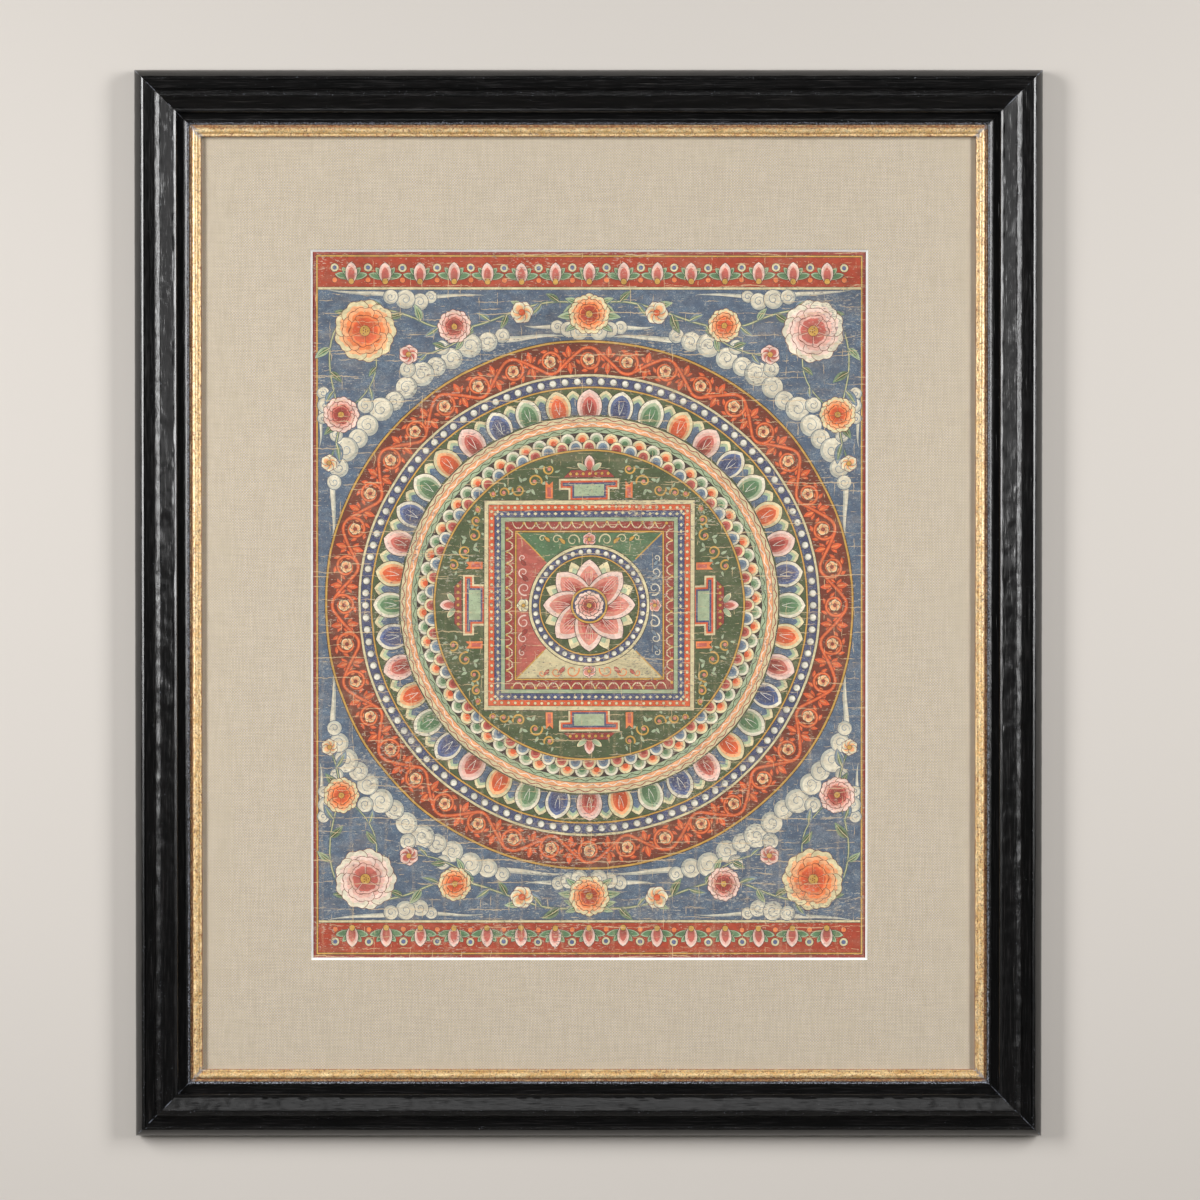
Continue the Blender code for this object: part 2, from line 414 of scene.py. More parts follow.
scroll_places = [bent(SCROLL_RADIUS, 2 * math.pi * k / SCROLLS, 1 if k % 2 else -1) for k in range(SCROLLS)]
for at in scroll_places:
    for over in (1, -1):
        for lean, size in ((-46, 6.9), (46, 6.9), (0, 9.6)):
            tip = put(period / 2, 2.2 * over, lean + (0 if over > 0 else 180), then=at)
            bend = -0.12 * np.sign(lean)
            inked(leaf(size, size * 0.5, bend), "orange", tip, 0.5, "red_brown", 0.25)
            paint(leaf(size * 0.74, size * 0.18, bend), "orange_light", tip)
    for t, length, lean in CURL_LEAVES:
        if lean:
            tip = put(*curl[t], heading(curl, t) + lean, then=at)
            inked(leaf(length, length * 0.5, -0.3), "orange", tip, 0.5, "red_brown", 0.25)
            paint(leaf(length * 0.74, length * 0.2, -0.32), "orange_light", tip)
        inner = put(*curl[t], heading(curl, t) + 48, then=at)
        inked(leaf(length * 0.72, length * 0.34, 0.3), "orange_light", inner, 0.4, "red_brown")
for layer in ("line", "body"):
    for at in scroll_places:
        for path, widths in ((curl, (2.2, 2.2, 1.0)), (wave, (2.4, 2.4, 2.4))):
            if layer == "line":
                paint(grown(ribbon(path, *widths), 0.45), "red_brown", at)
            else:
                paint(ribbon(path, *widths), "orange", at)
                paint(ribbon(path, 0.6, 0.8, 0.4), "orange_light", at)
for at in scroll_places:
    blossom(put(0, 0, 20, then=at), 4.9, 5, ("cream", "peach"), "dark_red", "red_brown")


# Pearls, then the ring of lotus petals
def pearls(radius, count, size):
    for at in ring(radius, count):
        inked(disc(0, 0, size, 12), "cloud_shade", at, 0.45, fade=0.15)
        paint(disc(-0.2, 0.25, size * 0.74, 10), "white", at, 0.12)


rounds((192.4, "ink"), (192, "cream"), (190.2, "ink"), (189.8, "navy"))
pearls(186.0, 116, 2.9)
rounds((182.2, "ink"), (181.8, "gold"), (180.6, "ink"), (180.2, "dark_green"))
PETALS = 40
PETAL_TONES = (
    ("pink_pale", "pink", "salmon", "dark_red"),
    ("cloud", "navy_light", "navy"),
    ("cloud", "sage", "green"),
    ("cream", "peach", "orange"),
)
for at in ring(158.5, PETALS, 0.5):
    shaded_petal(20.5, 15, ("cream", "sage", "slate"), at)
for k, at in enumerate(ring(158.0, PETALS)):
    shaded_petal(21.5, 20, PETAL_TONES[k % 4], at, 0.55, foot=0.42)
    for flip in (1, -1):
        vein = bezier((0, 2), (flip, 6), (flip * 2.2, 9), (flip * 1.6, 13), 5)
        paint(ribbon(vein, 0.3, 0.6, 0.1), "white", at)

# Three waved bands, and scallops like roof tiles
rounds((157.2, "ink"), (156.8, "cream"), (152.6, "dark_red"), (152.2, "peach"))
rounds((148.0, "ink"), (147.6, "sage"), (143.4, "ink"))
WAVES = 84
for radius, pigment in ((154.7, "dark_red"), (150.1, "white"), (145.5, "dark_green")):
    turn = np.linspace(0, 2 * np.pi, WAVES * 8 + 1)
    swing = radius + 0.95 * np.sin(turn * WAVES)
    rims = [np.stack([(swing + w) * np.sin(turn), (swing + w) * np.cos(turn)], 1) for w in (0.38, -0.38)]
    paint(np.concatenate([rims[0], rims[1][::-1]]), pigment)
SCALLOPS = 72
for radius, shift, schemes in (
    (136.8, 0.5, (("cloud", "sage", "green"), ("cream", "peach", "orange"))),
    (130.5, 0.0, (("cream", "salmon", "dark_red"), ("cloud", "slate_pale", "slate"))),
):
    half = math.pi * radius / SCALLOPS
    t = np.linspace(0, np.pi, 9)
    for k, at in enumerate(ring(radius, SCALLOPS, shift)):
        for step, tone in enumerate(schemes[k % 2]):
            s = 1 - 0.3 * step
            arc = np.stack([half * s * np.cos(t), 6.6 * s * np.sin(t)], 1)
            shape = np.concatenate([arc, [(-half * s, -1.5), (half * s, -1.5)]])
            if not step:
                paint(grown(shape, 0.4), "ink", at)
            paint(shape, tone, at, 0.2)

# The garden round the palace, with gold scrolls
rounds((129.6, "ink"), (129.2, "gold"), (127.8, "ink"), (127.4, "dark_green"))
CURLS = ((45, 103, 6.4, 200), (58, 96, 6.0, 20), (71, 94, 4.6, 200), (33, 113, 5.0, 30), (80, 93, 2.6, 30))
QUARTERS = [put(0, 0, 90 * quarter) for quarter in range(4)]
for quarter in QUARTERS:
    for half in halves(quarter):
        for x, y, r, a in CURLS:
            paint(ribbon(spiral(x, y, r, 1.2, a, a - 430, 26), 1.5, 1.3, 0.7), "gold", half)
            inked(disc(x, y, 1.5, 10), "salmon_light", half, 0.3)
            for lean in (0, 90, 180, 270):
                angle = math.radians(a + lean)
                tip = put(x + r * math.cos(angle), y + r * math.sin(angle), a + lean - 120, then=half)
                inked(leaf(r * 0.9, r * 0.4, 0.3), "sage", tip, 0.3)

# The palace, seen from above: four gates, five walls and four courts
PALACE = 88.0
GATE = [(-17, -2), (17, -2), (17, 8), (25, 8), (25, 17), (-25, 17), (-25, 8), (-17, 8)]
for quarter in QUARTERS:
    at = put(0, PALACE, then=quarter)
    inked(GATE, "cream", at, 0.6)
    for step, tone in enumerate(("orange", "navy", "sage"), 1):
        paint(grown(GATE, -2.2 * step), tone, at)
    inked([(-21, 18.2), (21, 18.2), (15, 24), (-15, 24)], "dark_red", at, 0.5)
    for x in range(-3, 4):
        inked(disc(x * 5.2, 21, 1.3, 8), "gold", at, 0.25)
    shaded_petal(12, 9, LOTUS, put(0, 24.2, then=at), 0.45)
    for half in halves(at):
        shaded_petal(9, 5, ("cream", "sage"), put(3, 24.2, -52, then=half), 0.4)
        inked([(30, 1), (36, 1), (36, 15), (33, 12), (30, 15)], "orange_light", half, 0.4)
        paint([(31.5, 2), (34.5, 2), (34.5, 10), (31.5, 10)], "salmon", half)
for half, pigment in (
    *((88, "ink"), (87.4, "cream"), (84.2, "ink"), (83.8, "orange"), (79.2, "ink"), (78.8, "navy")),
    *((73.8, "ink"), (73.4, "sage"), (70.4, "ink"), (70, "dark_red"), (62.6, "ink"), (62.2, "gold")),
    (61, "ink"),
):
    paint(rectangle(half), pigment)
COURTS = (  # ground, scrolls, leaves, petals
    ("green", "cream", "gold", ("pink_pale", "salmon_light")),
    ("salmon", "pink_pale", "dark_red", ("cloud", "cream")),
    ("cream", "orange_light", "salmon", ("pink_pale", "salmon_light")),
    ("slate", "cloud", "slate_pale", ("pink_pale", "salmon_light")),
)
COURT_CURLS = (  # x, y, radius, start, points and width
    (14, 54, 6, 200, 20, 1.2),
    (27.5, 55, 4.6, 180, 18, 1),
    (39.5, 56, 3.2, 180, 14, 0.9),
)
for at, (ground, *_) in zip(QUARTERS, COURTS):
    paint([(0, 0), (60.6, 60.6), (-60.6, 60.6)], ground, at, -0.16)
for at, (_, scroll, leaves, petals) in zip(QUARTERS, COURTS):
    for half in halves(at):
        for x, y, r, start, count, width in COURT_CURLS:
            line = spiral(x, y, r, r * 0.25, start, -230, count)
            paint(ribbon(line, width, width * 0.85, 0.4), scroll, half)
        inked(leaf(7, 3, 0.3), leaves, put(20.5, 51, -30, then=half), 0.35)
        inked(leaf(6, 2.6, 0.3), leaves, put(33.5, 53, -30, then=half), 0.35)
    blossom(put(0, 54.5, then=at), 5.6, 6, petals)
    for x in np.arange(-14, 15) * 5.6:
        inked(disc(x, 81.5, 1.25, 8), "cream", at, 0.25, "red_brown")
        paint([(x - 1.7, 76.3), (x, 75), (x + 1.7, 76.3), (x, 77.6)], "cream", at)
    for x in np.arange(-6, 7) * 9.9:
        garland = bezier((-4.6, 69.6), (-3.4, 62.2), (3.4, 62.2), (4.6, 69.6), 7) + (x, 0)
        paint(ribbon(garland, 0.5, 1.6, 0.5), "cream", at)
        inked(disc(x + 4.95, 68.6, 1.3, 8), "gold", at, 0.25)
        inked(disc(x, 64.6, 0.9, 6), "pink", at, 0.25)
for at in QUARTERS:
    paint(ribbon([(38, 38), (50, 50), (60.6, 60.6)], 1.0, 1.0, 1.0), "gold", at)

# The lotus at the middle
rounds((50.6, "ink"), (50, "cream"), (47.8, "ink"), (47.4, "navy"))
pearls(44.6, 40, 2.1)
rounds((41.8, "ink"), (41.4, "gold"), (40.4, "ink"), (40, "dark_green"))
for k in range(8):
    shaded_petal(39, 18, ("cream", "sage", "green"), put(0, 0, 45 * k + 22.5), foot=0.2)
for k in range(8):
    at = put(0, 0, 45 * k)
    shaded_petal(38, 26, ("pink_pale", "salmon_light", "salmon", "dark_red"), at, 0.6, foot=0.2)
    for lean in (-2.6, -0.9, 0.9, 2.6):
        vein = bezier((0.6 * np.sign(lean), 16), (lean, 20), (lean * 1.4, 26), (lean * 0.8, 31), 6)
        paint(ribbon(vein, 0.3, 0.7, 0.1), "pink_pale", at)
rounds((15.4, "ink"), (14.9, "gold"), (13.4, "ink"), (13.0, "navy"))
heart_tones = ("pink_pale", "pink"), ("pink", "salmon_light"), ("salmon_light", "dark_red")
peony(put(0, 0), 11.6, heart_tones, "ink")


# The strokes become one flat mesh, in which every triangle has the pigment that lies on top
def strayed(outline, slow_mm=55, slow_by=0.9, quick_mm=9, quick_by=0.22):
    """The outline as a hand draws it, in slow and quick swings. Points near each other stray alike."""
    out = np.array(outline, float)
    for k, (x, y) in enumerate(outline):
        slow = noise.noise_vector((x / slow_mm, y / slow_mm, 3.1))
        quick = noise.noise_vector((x / quick_mm, y / quick_mm, 7.7))
        out[k] += (slow.x * slow_by + quick.x * quick_by, slow.y * slow_by + quick.y * quick_by)
    return out


def cut_up(points, edges, joined_mm=1e-3, smallest=2e-6):
    """Triangles that follow every edge: an array of points and one of corners, left to right."""
    points = [Vector(p) for p in points]
    points, _, corners, *_ = delaunay_2d_cdt(points, edges, [], 0, joined_mm, False)
    points, corners = np.array([tuple(p) for p in points]), np.array([tuple(c) for c in corners])
    a, b, c = (points[corners[:, k]] for k in range(3))
    area = (b[:, 0] - a[:, 0]) * (c[:, 1] - a[:, 1]) - (c[:, 0] - a[:, 0]) * (b[:, 1] - a[:, 1])
    corners = corners[np.abs(area) > smallest]
    return points, corners[np.argsort(points[corners].mean(1)[:, 0])]


def on_top(points, corners):
    """The last outline that covers each triangle's middle."""
    xs, ys = points[corners].mean(1).T
    top = np.zeros(len(corners), int)
    for number, outline in enumerate(outlines):
        first, last = np.searchsorted(xs, (outline[:, 0].min(), outline[:, 0].max()))
        inside = np.zeros(last - first, bool)
        for (x0, y0), (x1, y1) in zip(outline, np.roll(outline, -1, 0)):
            i, j = first + np.searchsorted(xs[first:last], (min(x0, x1), max(x0, x1)))
            if i < j:
                crossing = y0 + (xs[i:j] - x0) * (y1 - y0) / (x1 - x0)
                inside[i - first : j - first] ^= ys[i:j] < crossing
        top[first:last][inside] = number
    return top


def seen_edges(corners, top):
    """The edges that still show: a different outline on each side, or the sheet's own edge."""
    sides = np.sort(np.concatenate([corners[:, (0, 1)], corners[:, (1, 2)], corners[:, (2, 0)]]), axis=1)
    order = np.lexsort((sides[:, 1], sides[:, 0]))
    sides, owner = sides[order], np.tile(top, 3)[order]
    pair = np.flatnonzero((sides[1:] == sides[:-1]).all(1))
    alone = np.ones(len(sides), bool)
    alone[pair] = alone[pair + 1] = False
    return np.concatenate([sides[pair[owner[pair] != owner[pair + 1]]], sides[alone]])


def thinned(points, edges, slack_mm=0.075, longest_mm=6.0):
    """The edges without the points that bend a line by less than the slack."""
    near = {}
    for a, b in edges.tolist():
        near.setdefault(a, []).append(b)
        near.setdefault(b, []).append(a)
    for v in list(near):
        if len(near[v]) != 2:
            continue
        a, b = near[v]
        if a == b or b in near[a]:
            continue
        chord, off = points[b] - points[a], points[v] - points[a]
        length = math.hypot(*chord)
        if length < longest_mm and abs(chord[0] * off[1] - chord[1] * off[0]) < slack_mm * length:
            near[a][near[a].index(v)] = b
            near[b][near[b].index(v)] = a
            del near[v]
    return np.array([(a, b) for a, ends in near.items() for b in ends if a < b])


outlines = [strayed(outline) if number else outline for number, (outline, *_) in enumerate(strokes)]
starts = np.cumsum([0] + [len(outline) for outline in outlines])
loops = [(a + k, a + (k + 1) % (b - a)) for a, b in zip(starts, starts[1:]) for k in range(b - a)]
points, corners = cut_up(np.concatenate(outlines), loops)
edges = thinned(points, seen_edges(corners, on_top(points, corners)))
used, edges = np.unique(edges, return_inverse=True)
points, corners = cut_up(points[used], edges.reshape(-1, 2).tolist())
top = on_top(points, corners)


def added(name, data):
    """A new object in the scene."""
    made = bpy.data.objects.new(name, data)
    bpy.context.scene.collection.objects.link(made)
    return made


def finished(name, verts, faces, material):
    """A mesh object at the origin, whose place is in its points."""
    mesh = bpy.data.meshes.new(name)
    mesh.from_pydata([tuple(v) for v in verts], [], [tuple(f) for f in faces])
    mesh.validate()
    mesh.materials.append(material)
    return added(name, mesh)


def operator(operation, reflected=False):
    """One of Python's operators, as a Math node."""

    def applied(self, other=0.0):
        first, second = (other, self) if reflected else (self, other)
        return self.wiring.maths(operation, first, second)

    return applied


class Value:
    """A socket that Python's operators work on: each one adds a Math node."""

    def __init__(self, wiring, socket):
        self.wiring, self.socket = wiring, socket

    __add__ = __radd__ = operator("ADD")
    __sub__, __rsub__ = operator("SUBTRACT"), operator("SUBTRACT", reflected=True)
    __mul__ = __rmul__ = operator("MULTIPLY")
    __truediv__, __rtruediv__ = operator("DIVIDE"), operator("DIVIDE", reflected=True)
    __pow__, __abs__ = operator("POWER"), operator("ABSOLUTE")


class Wiring:
    """A node tree. One method adds any node, and the rest are built on it."""

    def __init__(self, tree):
        self.tree = tree

    def node(self, kind, settings=None, sockets=None, out=0):
        made = self.tree.nodes.new(kind)
        for name, value in (settings or {}).items():
            setattr(made, name, value)
        for name, value in (sockets or {}).items():
            self.feed(made.inputs[name], value)
        return Value(self, made.outputs[out])

    def feed(self, socket, value):
        if isinstance(value, Value):
            self.tree.links.new(value.socket, socket)
        else:
            socket.default_value = value

    def vector(self, operation, first, second):
        return self.node("ShaderNodeVectorMath", {"operation": operation}, {0: first, 1: second})

    def noise(self, size, detail=2.0, roughness=0.5, stretch=(1, 1, 1), shift=0.0, at=None, out=0):
        """Noise with features of about that size, longer along an axis whose stretch is more."""
        scale, at = tuple(1 / (size * s) for s in stretch), at or self.at
        places = {"Vector": at, "Location": (shift, shift * 1.7, shift * 0.6), "Scale": scale}
        moved = self.node("ShaderNodeMapping", {}, places)
        sockets = {"Vector": moved, "Scale": 1.0, "Detail": detail, "Roughness": roughness}
        return self.node("ShaderNodeTexNoise", {}, sockets, out)

    def maths(self, operation, *values):
        return self.node("ShaderNodeMath", {"operation": operation}, dict(enumerate(values)))

    def sine(self, value):
        return self.maths("SINE", value)

    def larger(self, first, second):
        return self.maths("MAXIMUM", first, second)

    def smaller(self, first, second):
        return self.maths("MINIMUM", first, second)

    def attribute(self, name, out="Fac"):
        return self.node("ShaderNodeAttribute", {"attribute_name": name}, out=out)

    def step(self, value, start, end):
        """0 up to start, 1 from end, and smooth between them."""
        limits = {"Value": value, "From Min": start, "From Max": end}
        return self.node("ShaderNodeMapRange", {"interpolation_type": "SMOOTHSTEP"}, limits)

    def patches(self, start, end, *shape, **place):
        """Patches where the noise is high: none of it under start, all of it over end."""
        return self.step(self.noise(*shape, **place), start, end)


class Finish(Wiring):
    """A material round one Principled shader, whose fixed values are set on its own sockets."""

    def __init__(self, name, **fixed):
        self.material = bpy.data.materials.new(name)
        self.material.use_nodes = True
        super().__init__(self.material.node_tree)
        self.shader = self.tree.nodes["Principled BSDF"]
        for socket, value in fixed.items():
            self.shader.inputs[socket.replace("_", " ")].default_value = value
        self.at = self.node("ShaderNodeTexCoord", out="Object")
        split = self.node("ShaderNodeSeparateXYZ", {}, {0: self.at})
        self.x, self.y, self.z = (Value(self, socket) for socket in split.socket.node.outputs)

    def mix(self, amount, under, over, kind="MIX"):
        """Colour over laid on colour under, by amount. A tuple is a colour as on a screen."""
        under, over = ((*linear(*c), 1.0) if isinstance(c, tuple) else c for c in (under, over))
        settings = {"data_type": "RGBA", "blend_type": kind}
        return self.node("ShaderNodeMix", settings, {0: amount, 6: under, 7: over}, 2)

    def shade(self, colour, amount):
        """A colour made lighter or darker."""
        return self.node("ShaderNodeVectorMath", {"operation": "SCALE"}, {0: colour, "Scale": amount})

    def bump(self, height, distance, under=None):
        sockets = {"Height": height, "Distance": distance, "Strength": 1.0}
        if under is not None:
            sockets["Normal"] = under
        return self.node("ShaderNodeBump", {}, sockets)

    def crease(self, along, pitch, width, shift=0.0):
        """Thin lines across a direction, at uneven steps of about the pitch."""
        settings = {"voronoi_dimensions": "1D", "feature": "DISTANCE_TO_EDGE"}
        gap = self.node("ShaderNodeTexVoronoi", settings, {"W": along * (1 / pitch) + shift, "Scale": 1.0})
        return 1 - self.step(gap * pitch / width, 0.3, 1.0)

    def wear(self, colour=None, roughness=None, normal=None, metallic=None):
        varying = {"Base Color": colour, "Roughness": roughness, "Normal": normal, "Metallic": metallic}
        for name, value in varying.items():
            if value is not None:
                self.feed(self.shader.inputs[name], value)
        return self.material


f = Finish("painted cotton", Specular_IOR_Level=0.25)
pigment = f.attribute("pigment", "Color")
broad = f.noise(0.060, 4, 0.6)
uneven = f.noise(0.010, 5, 0.68, shift=3)
grains = f.noise(0.0013, 3, 0.7)
threads = f.noise(0.0007, 1, 0.5, (9, 9, 1)) + f.noise(0.0007, 1, 0.5, (1, 9, 9), 5)
# The brush left each colour streaked and pooled, and the blues were worked over in swirls
bend = f.vector("MULTIPLY", f.noise(0.011, 3, 0.55, shift=14, out="Color"), (0.016, 0.016, 0.016))
swirls = f.noise(0.0042, 3, 0.62, (2.2, 1, 1), 18, f.vector("ADD", f.at, bend))
brushed = 0.36 + 0.34 * uneven + 0.20 * broad + 0.34 * f.step(swirls, 0.30, 0.70)
brushed = brushed + 0.20 * grains + 0.06 * threads
colour = f.shade(pigment, brushed * 0.92)
hues = f.node("ShaderNodeSeparateColor", {}, {0: pigment}).socket.node.outputs
blue = f.step(Value(f, hues["Blue"]) - Value(f, hues["Red"]), 0.04, 0.09)
pools = f.patches(0.40, 0.62, 0.0075, 5, 0.72, (1.6, 1, 1), 23)
ripples = 1 - f.step(abs(f.sine(swirls * 38)), 0.10, 0.80)
colour = f.mix(blue * (1 - pools) * 0.42, colour, (52, 66, 90))
colour = f.mix(blue * ripples * (0.15 + 0.40 * pools), colour, (158, 168, 170))
lightness = f.node("ShaderNodeRGBToBW", {}, {0: pigment})
pale = f.step(lightness, 0.22, 0.46)
# Each colour has been rubbed a little chalky, and in places thin paint shows the ground
chalk = f.patches(0.46, 0.72, 0.020, 5, 0.7, (2.2, 1, 1), 9)
colour = f.mix(0.07 + chalk * 0.12, colour, (206, 184, 158))


def dashes(along, pitch, width, length, size, shown, shift):
    """Cracks across a direction that waver, swell and taper, and show only in stretches."""
    part = f.step(f.noise(size, 2, 0.55, length, shift), shown, shown + 0.14)
    return f.crease(along + sway, pitch, 0.00002 + part * width, shift) * f.step(part, 0.02, 0.2)


# Cracks: many short ones across the roll, some down it, and long soft folds low down
sway = f.noise(0.05, 2) * 0.006 + f.noise(0.006, 3, 0.65) * 0.0034
lower = 1 - f.step(f.z, -0.62, -0.30)
cracks = dashes(f.z, 0.0064, 0.00046, (4, 1, 1), 0.0036, 0.52, 2)
cracks = f.larger(cracks, dashes(f.z, 0.0210, 0.00062, (7, 1, 1), 0.0045, 0.47, 6))
cracks = f.larger(cracks, dashes(f.x, 0.0095, 0.00046, (1, 1, 4), 0.0036, 0.53, 4))
upright = f.crease(f.x + sway, 0.0230, 0.0018, 7) * lower
folds = f.larger(upright, f.crease(f.z + sway, 0.047, 0.0016, 5) * 0.6)
cracks = f.larger(cracks, folds * f.step(grains, 0.35, 0.75) * 0.5)
colour = f.mix(cracks * 0.62, colour, (222, 194, 152))
# Rubbed places, in streaks along the threads: chalk shows on dark paint, old ink on pale
zone = f.patches(0.47, 0.64, 0.045, 3, 0.65, (1.8, 1, 1), 12)
flakes = f.noise(0.0013, 3, 0.7, (2.8, 1, 1), 1)
rubbed = f.step(flakes + zone * 0.07, 0.62, 0.67)
colour = f.mix(rubbed * (0.5 + 0.16 * pale), colour, f.mix(pale, (206, 196, 176), (84, 84, 98)))
specks = f.patches(0.66, 0.72, 0.0024, 3, 0.7, shift=17)
colour = f.mix(specks * 0.5, colour, (70, 56, 46))
# Smoke and a few damp stains, most of them near the top
smoke = f.patches(0.52, 0.74, 0.11, 3, 0.55, shift=21) * f.step(f.z, -0.40, -0.14)
colour = f.mix(smoke * 0.30, colour, (120, 92, 62), "MULTIPLY")
cockle = f.bump(f.noise(0.090, 1, 0.4, shift=2), 0.0022)
cracked = f.bump(grains * 0.25 + threads * 0.2 - cracks * 0.8 - rubbed * 0.4, 0.00012, cockle)
f.wear(colour, 0.78 + 0.14 * uneven, cracked)

CLEARANCE = 0.00002
COTTON_FRONT = low.y + CLEARANCE
x, z = points[:, 0] * MM + cotton_middle.x, points[:, 1] * MM + cotton_middle.z
front = np.stack([x, np.full(len(x), COTTON_FRONT), z], 1)
edge_x, edge_z = (np.array(COTTON_MM) / 2 * MM).tolist()
rim = [
    int(np.argmin(np.hypot(x - cotton_middle.x - sx * edge_x, z - cotton_middle.z - sz * edge_z)))
    for sx, sz in ((-1, -1), (1, -1), (1, 1), (-1, 1))
]
rear = [(front[k][0], high.y - CLEARANCE, front[k][2]) for k in rim]
n = len(front)
sides = [(rim[(k + 1) % 4], rim[k], n + k, n + (k + 1) % 4) for k in range(4)]
back = (n, n + 3, n + 2, n + 1)
cotton = finished("painted_cotton", [*front, *rear], [*corners, *sides, back], f.material)
tones = {name: np.array(linear(*rgb)) for name, rgb in PIGMENTS.items()}
laid = np.array([(*(tones[pigment] * light), 1.0) for _, pigment, light, *_ in strokes])[top]
fade, foot, tip = (np.array([stroke[k] for stroke in strokes])[top] for k in (3, 4, 5))
axis = tip - foot
reach = ((points[corners] - foot[:, None]) * axis[:, None]).sum(2) / (axis**2).sum(1)[:, None]
laid = np.repeat(laid[:, None], 3, 1) * (1 + fade[:, None] * (2 * np.clip(reach, 0, 1) - 1))[:, :, None]
bare = (*linear(196, 180, 150), 1.0)
colours = cotton.data.color_attributes.new("pigment", "FLOAT_COLOR", "CORNER")
HIDDEN_CORNERS = 20  # of the faces on the sheet's four edges and its back
per_corner = np.concatenate([laid.reshape(-1, 4), np.tile(bare, (HIDDEN_CORNERS, 1))])
colours.data.foreach_set("color", per_corner.astype(np.float32).ravel())
flat_map = cotton.data.uv_layers.new(name="OFBake")
at_corner = np.zeros(len(cotton.data.loops), int)
cotton.data.loops.foreach_get("vertex_index", at_corner)
all_x, all_z = np.append(x, [v[0] for v in rear]), np.append(z, [v[2] for v in rear])
share = 1 / (2 * edge_z)
across = 0.5 + (all_x[at_corner] - cotton_middle.x) * share
up = 0.5 + (all_z[at_corner] - cotton_middle.z) * share
flat_map.data.foreach_set("uv", np.stack([across, up], 1).astype(np.float32).ravel())
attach(cotton, "root")
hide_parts("thangka")

# ---- Backing board -------------------------------------------------------------------------
# A plain sheet of brown fibreboard behind the cotton closes the back of the frame. Gummed paper
# tape is stuck down round its edge to keep the dust out.

low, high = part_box("backing_board")
board_middle, board_half = (low + high) / 2, (high - low) / 2
f = Finish("brown fibreboard", Specular_IOR_Level=0.3)
fibres = f.noise(0.0016, 3, 0.7, (3, 1, 1)) * 0.5 + f.noise(0.0016, 3, 0.7, (1, 1, 3), 4) * 0.5
blotches = f.noise(0.07, 4, 0.6, shift=8)
board_tone = f.mix(f.step(fibres, 0.38, 0.62), (132, 104, 76), (172, 142, 108))
board_tone = f.mix(f.patches(0.66, 0.72, 0.0009, 2, 0.6, shift=2) * 0.7, board_tone, (84, 62, 44))
from_sides = board_half.x - abs(f.x - board_middle.x)
from_ends = board_half.z - abs(f.z - board_middle.z)
torn = f.noise(0.004, 3, 0.6, shift=1) * 0.0012
TAPE_WIDTH = 0.0240


def under_tape(from_edge):
    return 1 - f.step(from_edge + torn, TAPE_WIDTH, TAPE_WIDTH + 0.0006)


taped = under_tape(f.smaller(from_sides, from_ends))
lapped = f.smaller(under_tape(from_sides), under_tape(from_ends))
wrinkles = f.noise(0.006, 4, 0.65, shift=13)
tape_tone = f.mix(f.step(wrinkles, 0.35, 0.65), (176, 140, 98), (198, 164, 122))
colour = f.mix(taped, board_tone, f.mix(lapped * 0.35, tape_tone, (128, 96, 64)))
colour = f.shade(colour, 0.82 + 0.36 * blotches)
lifted = f.bump(taped + lapped + wrinkles * taped * 0.8, 0.00022, f.bump(fibres * (1 - taped), 0.00016))
fibreboard = f.wear(colour, 0.80 + 0.15 * fibres - 0.2 * taped, lifted)
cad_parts["backing_board"].material_slots[0].material = fibreboard

# ---- Mat -----------------------------------------------------------------------------------
# White board, cut by hand with a blade held at 45 degrees, so its core shows as a thin pale
# line round the window. Undyed plain-weave linen is glued over its face, then cut with it.

f = Finish("cut mat board", Specular_IOR_Level=0.3)
pulp = f.noise(0.0012, 3, 0.6, (3, 1, 3))
colour = f.shade(f.mix(f.step(pulp, 0.35, 0.65), (250, 248, 243), (255, 254, 251)), 0.99)
soiled = f.patches(0.60, 0.75, 0.03, 3, 0.6, shift=4)
colour = f.mix(soiled * 0.10, colour, (214, 204, 184))
cut_board = f.wear(colour, 0.88 + 0.08 * pulp, f.bump(pulp, 0.00005))
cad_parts["mat_core"].material_slots[0].material = cut_board

WINDOW_WIDTH, WINDOW_HEIGHT = 0.4620, 0.5894
LINEN_BACK, LINEN_FRONT = 0.00802, 0.00868
DRAWN_BACK = 0.0004  # the blade drew the linen back from the bevel's edge

sheen = {"Sheen_Weight": 0.25, "Sheen_Roughness": 0.6, "Sheen_Tint": (*linear(250, 240, 222), 1.0)}
f = Finish("undyed linen", Specular_IOR_Level=0.2, **sheen)
THREAD = 0.00118
pulled = [f.noise(0.040, 2, 0.5, shift=k) * 0.0020 for k in (5, 15)]
u, v = (f.x + pulled[0]) * (math.pi / THREAD), (f.z + pulled[1]) * (math.pi / THREAD)
weave = f.sine(u) * f.sine(v)  # above 0 where a warp thread lies on top, below 0 a weft thread
round_thread = abs(weave) ** 0.5
weft = f.noise(0.0009, 1, 0.5, (14, 1, 1))
warp = f.noise(0.0009, 1, 0.5, (1, 1, 14), 6)
across_tone = f.mix(f.step(weft, 0.25, 0.75), (184, 168, 126), (202, 186, 144))  # a warmer yarn
along_tone = f.mix(f.step(warp, 0.25, 0.75), (190, 180, 176), (208, 198, 194))
colour = f.mix(f.step(weave, -0.1, 0.1), across_tone, along_tone)
slubs = f.patches(0.70, 0.82, 0.0010, 1, 0.5, (7, 1, 1), 3)
colour = f.mix(slubs * 0.15, colour, (218, 206, 190))
colour = f.mix(f.patches(0.71, 0.77, 0.0015, 2, 0.6, (4, 1, 1), 31) * 0.3, colour, (140, 122, 98))
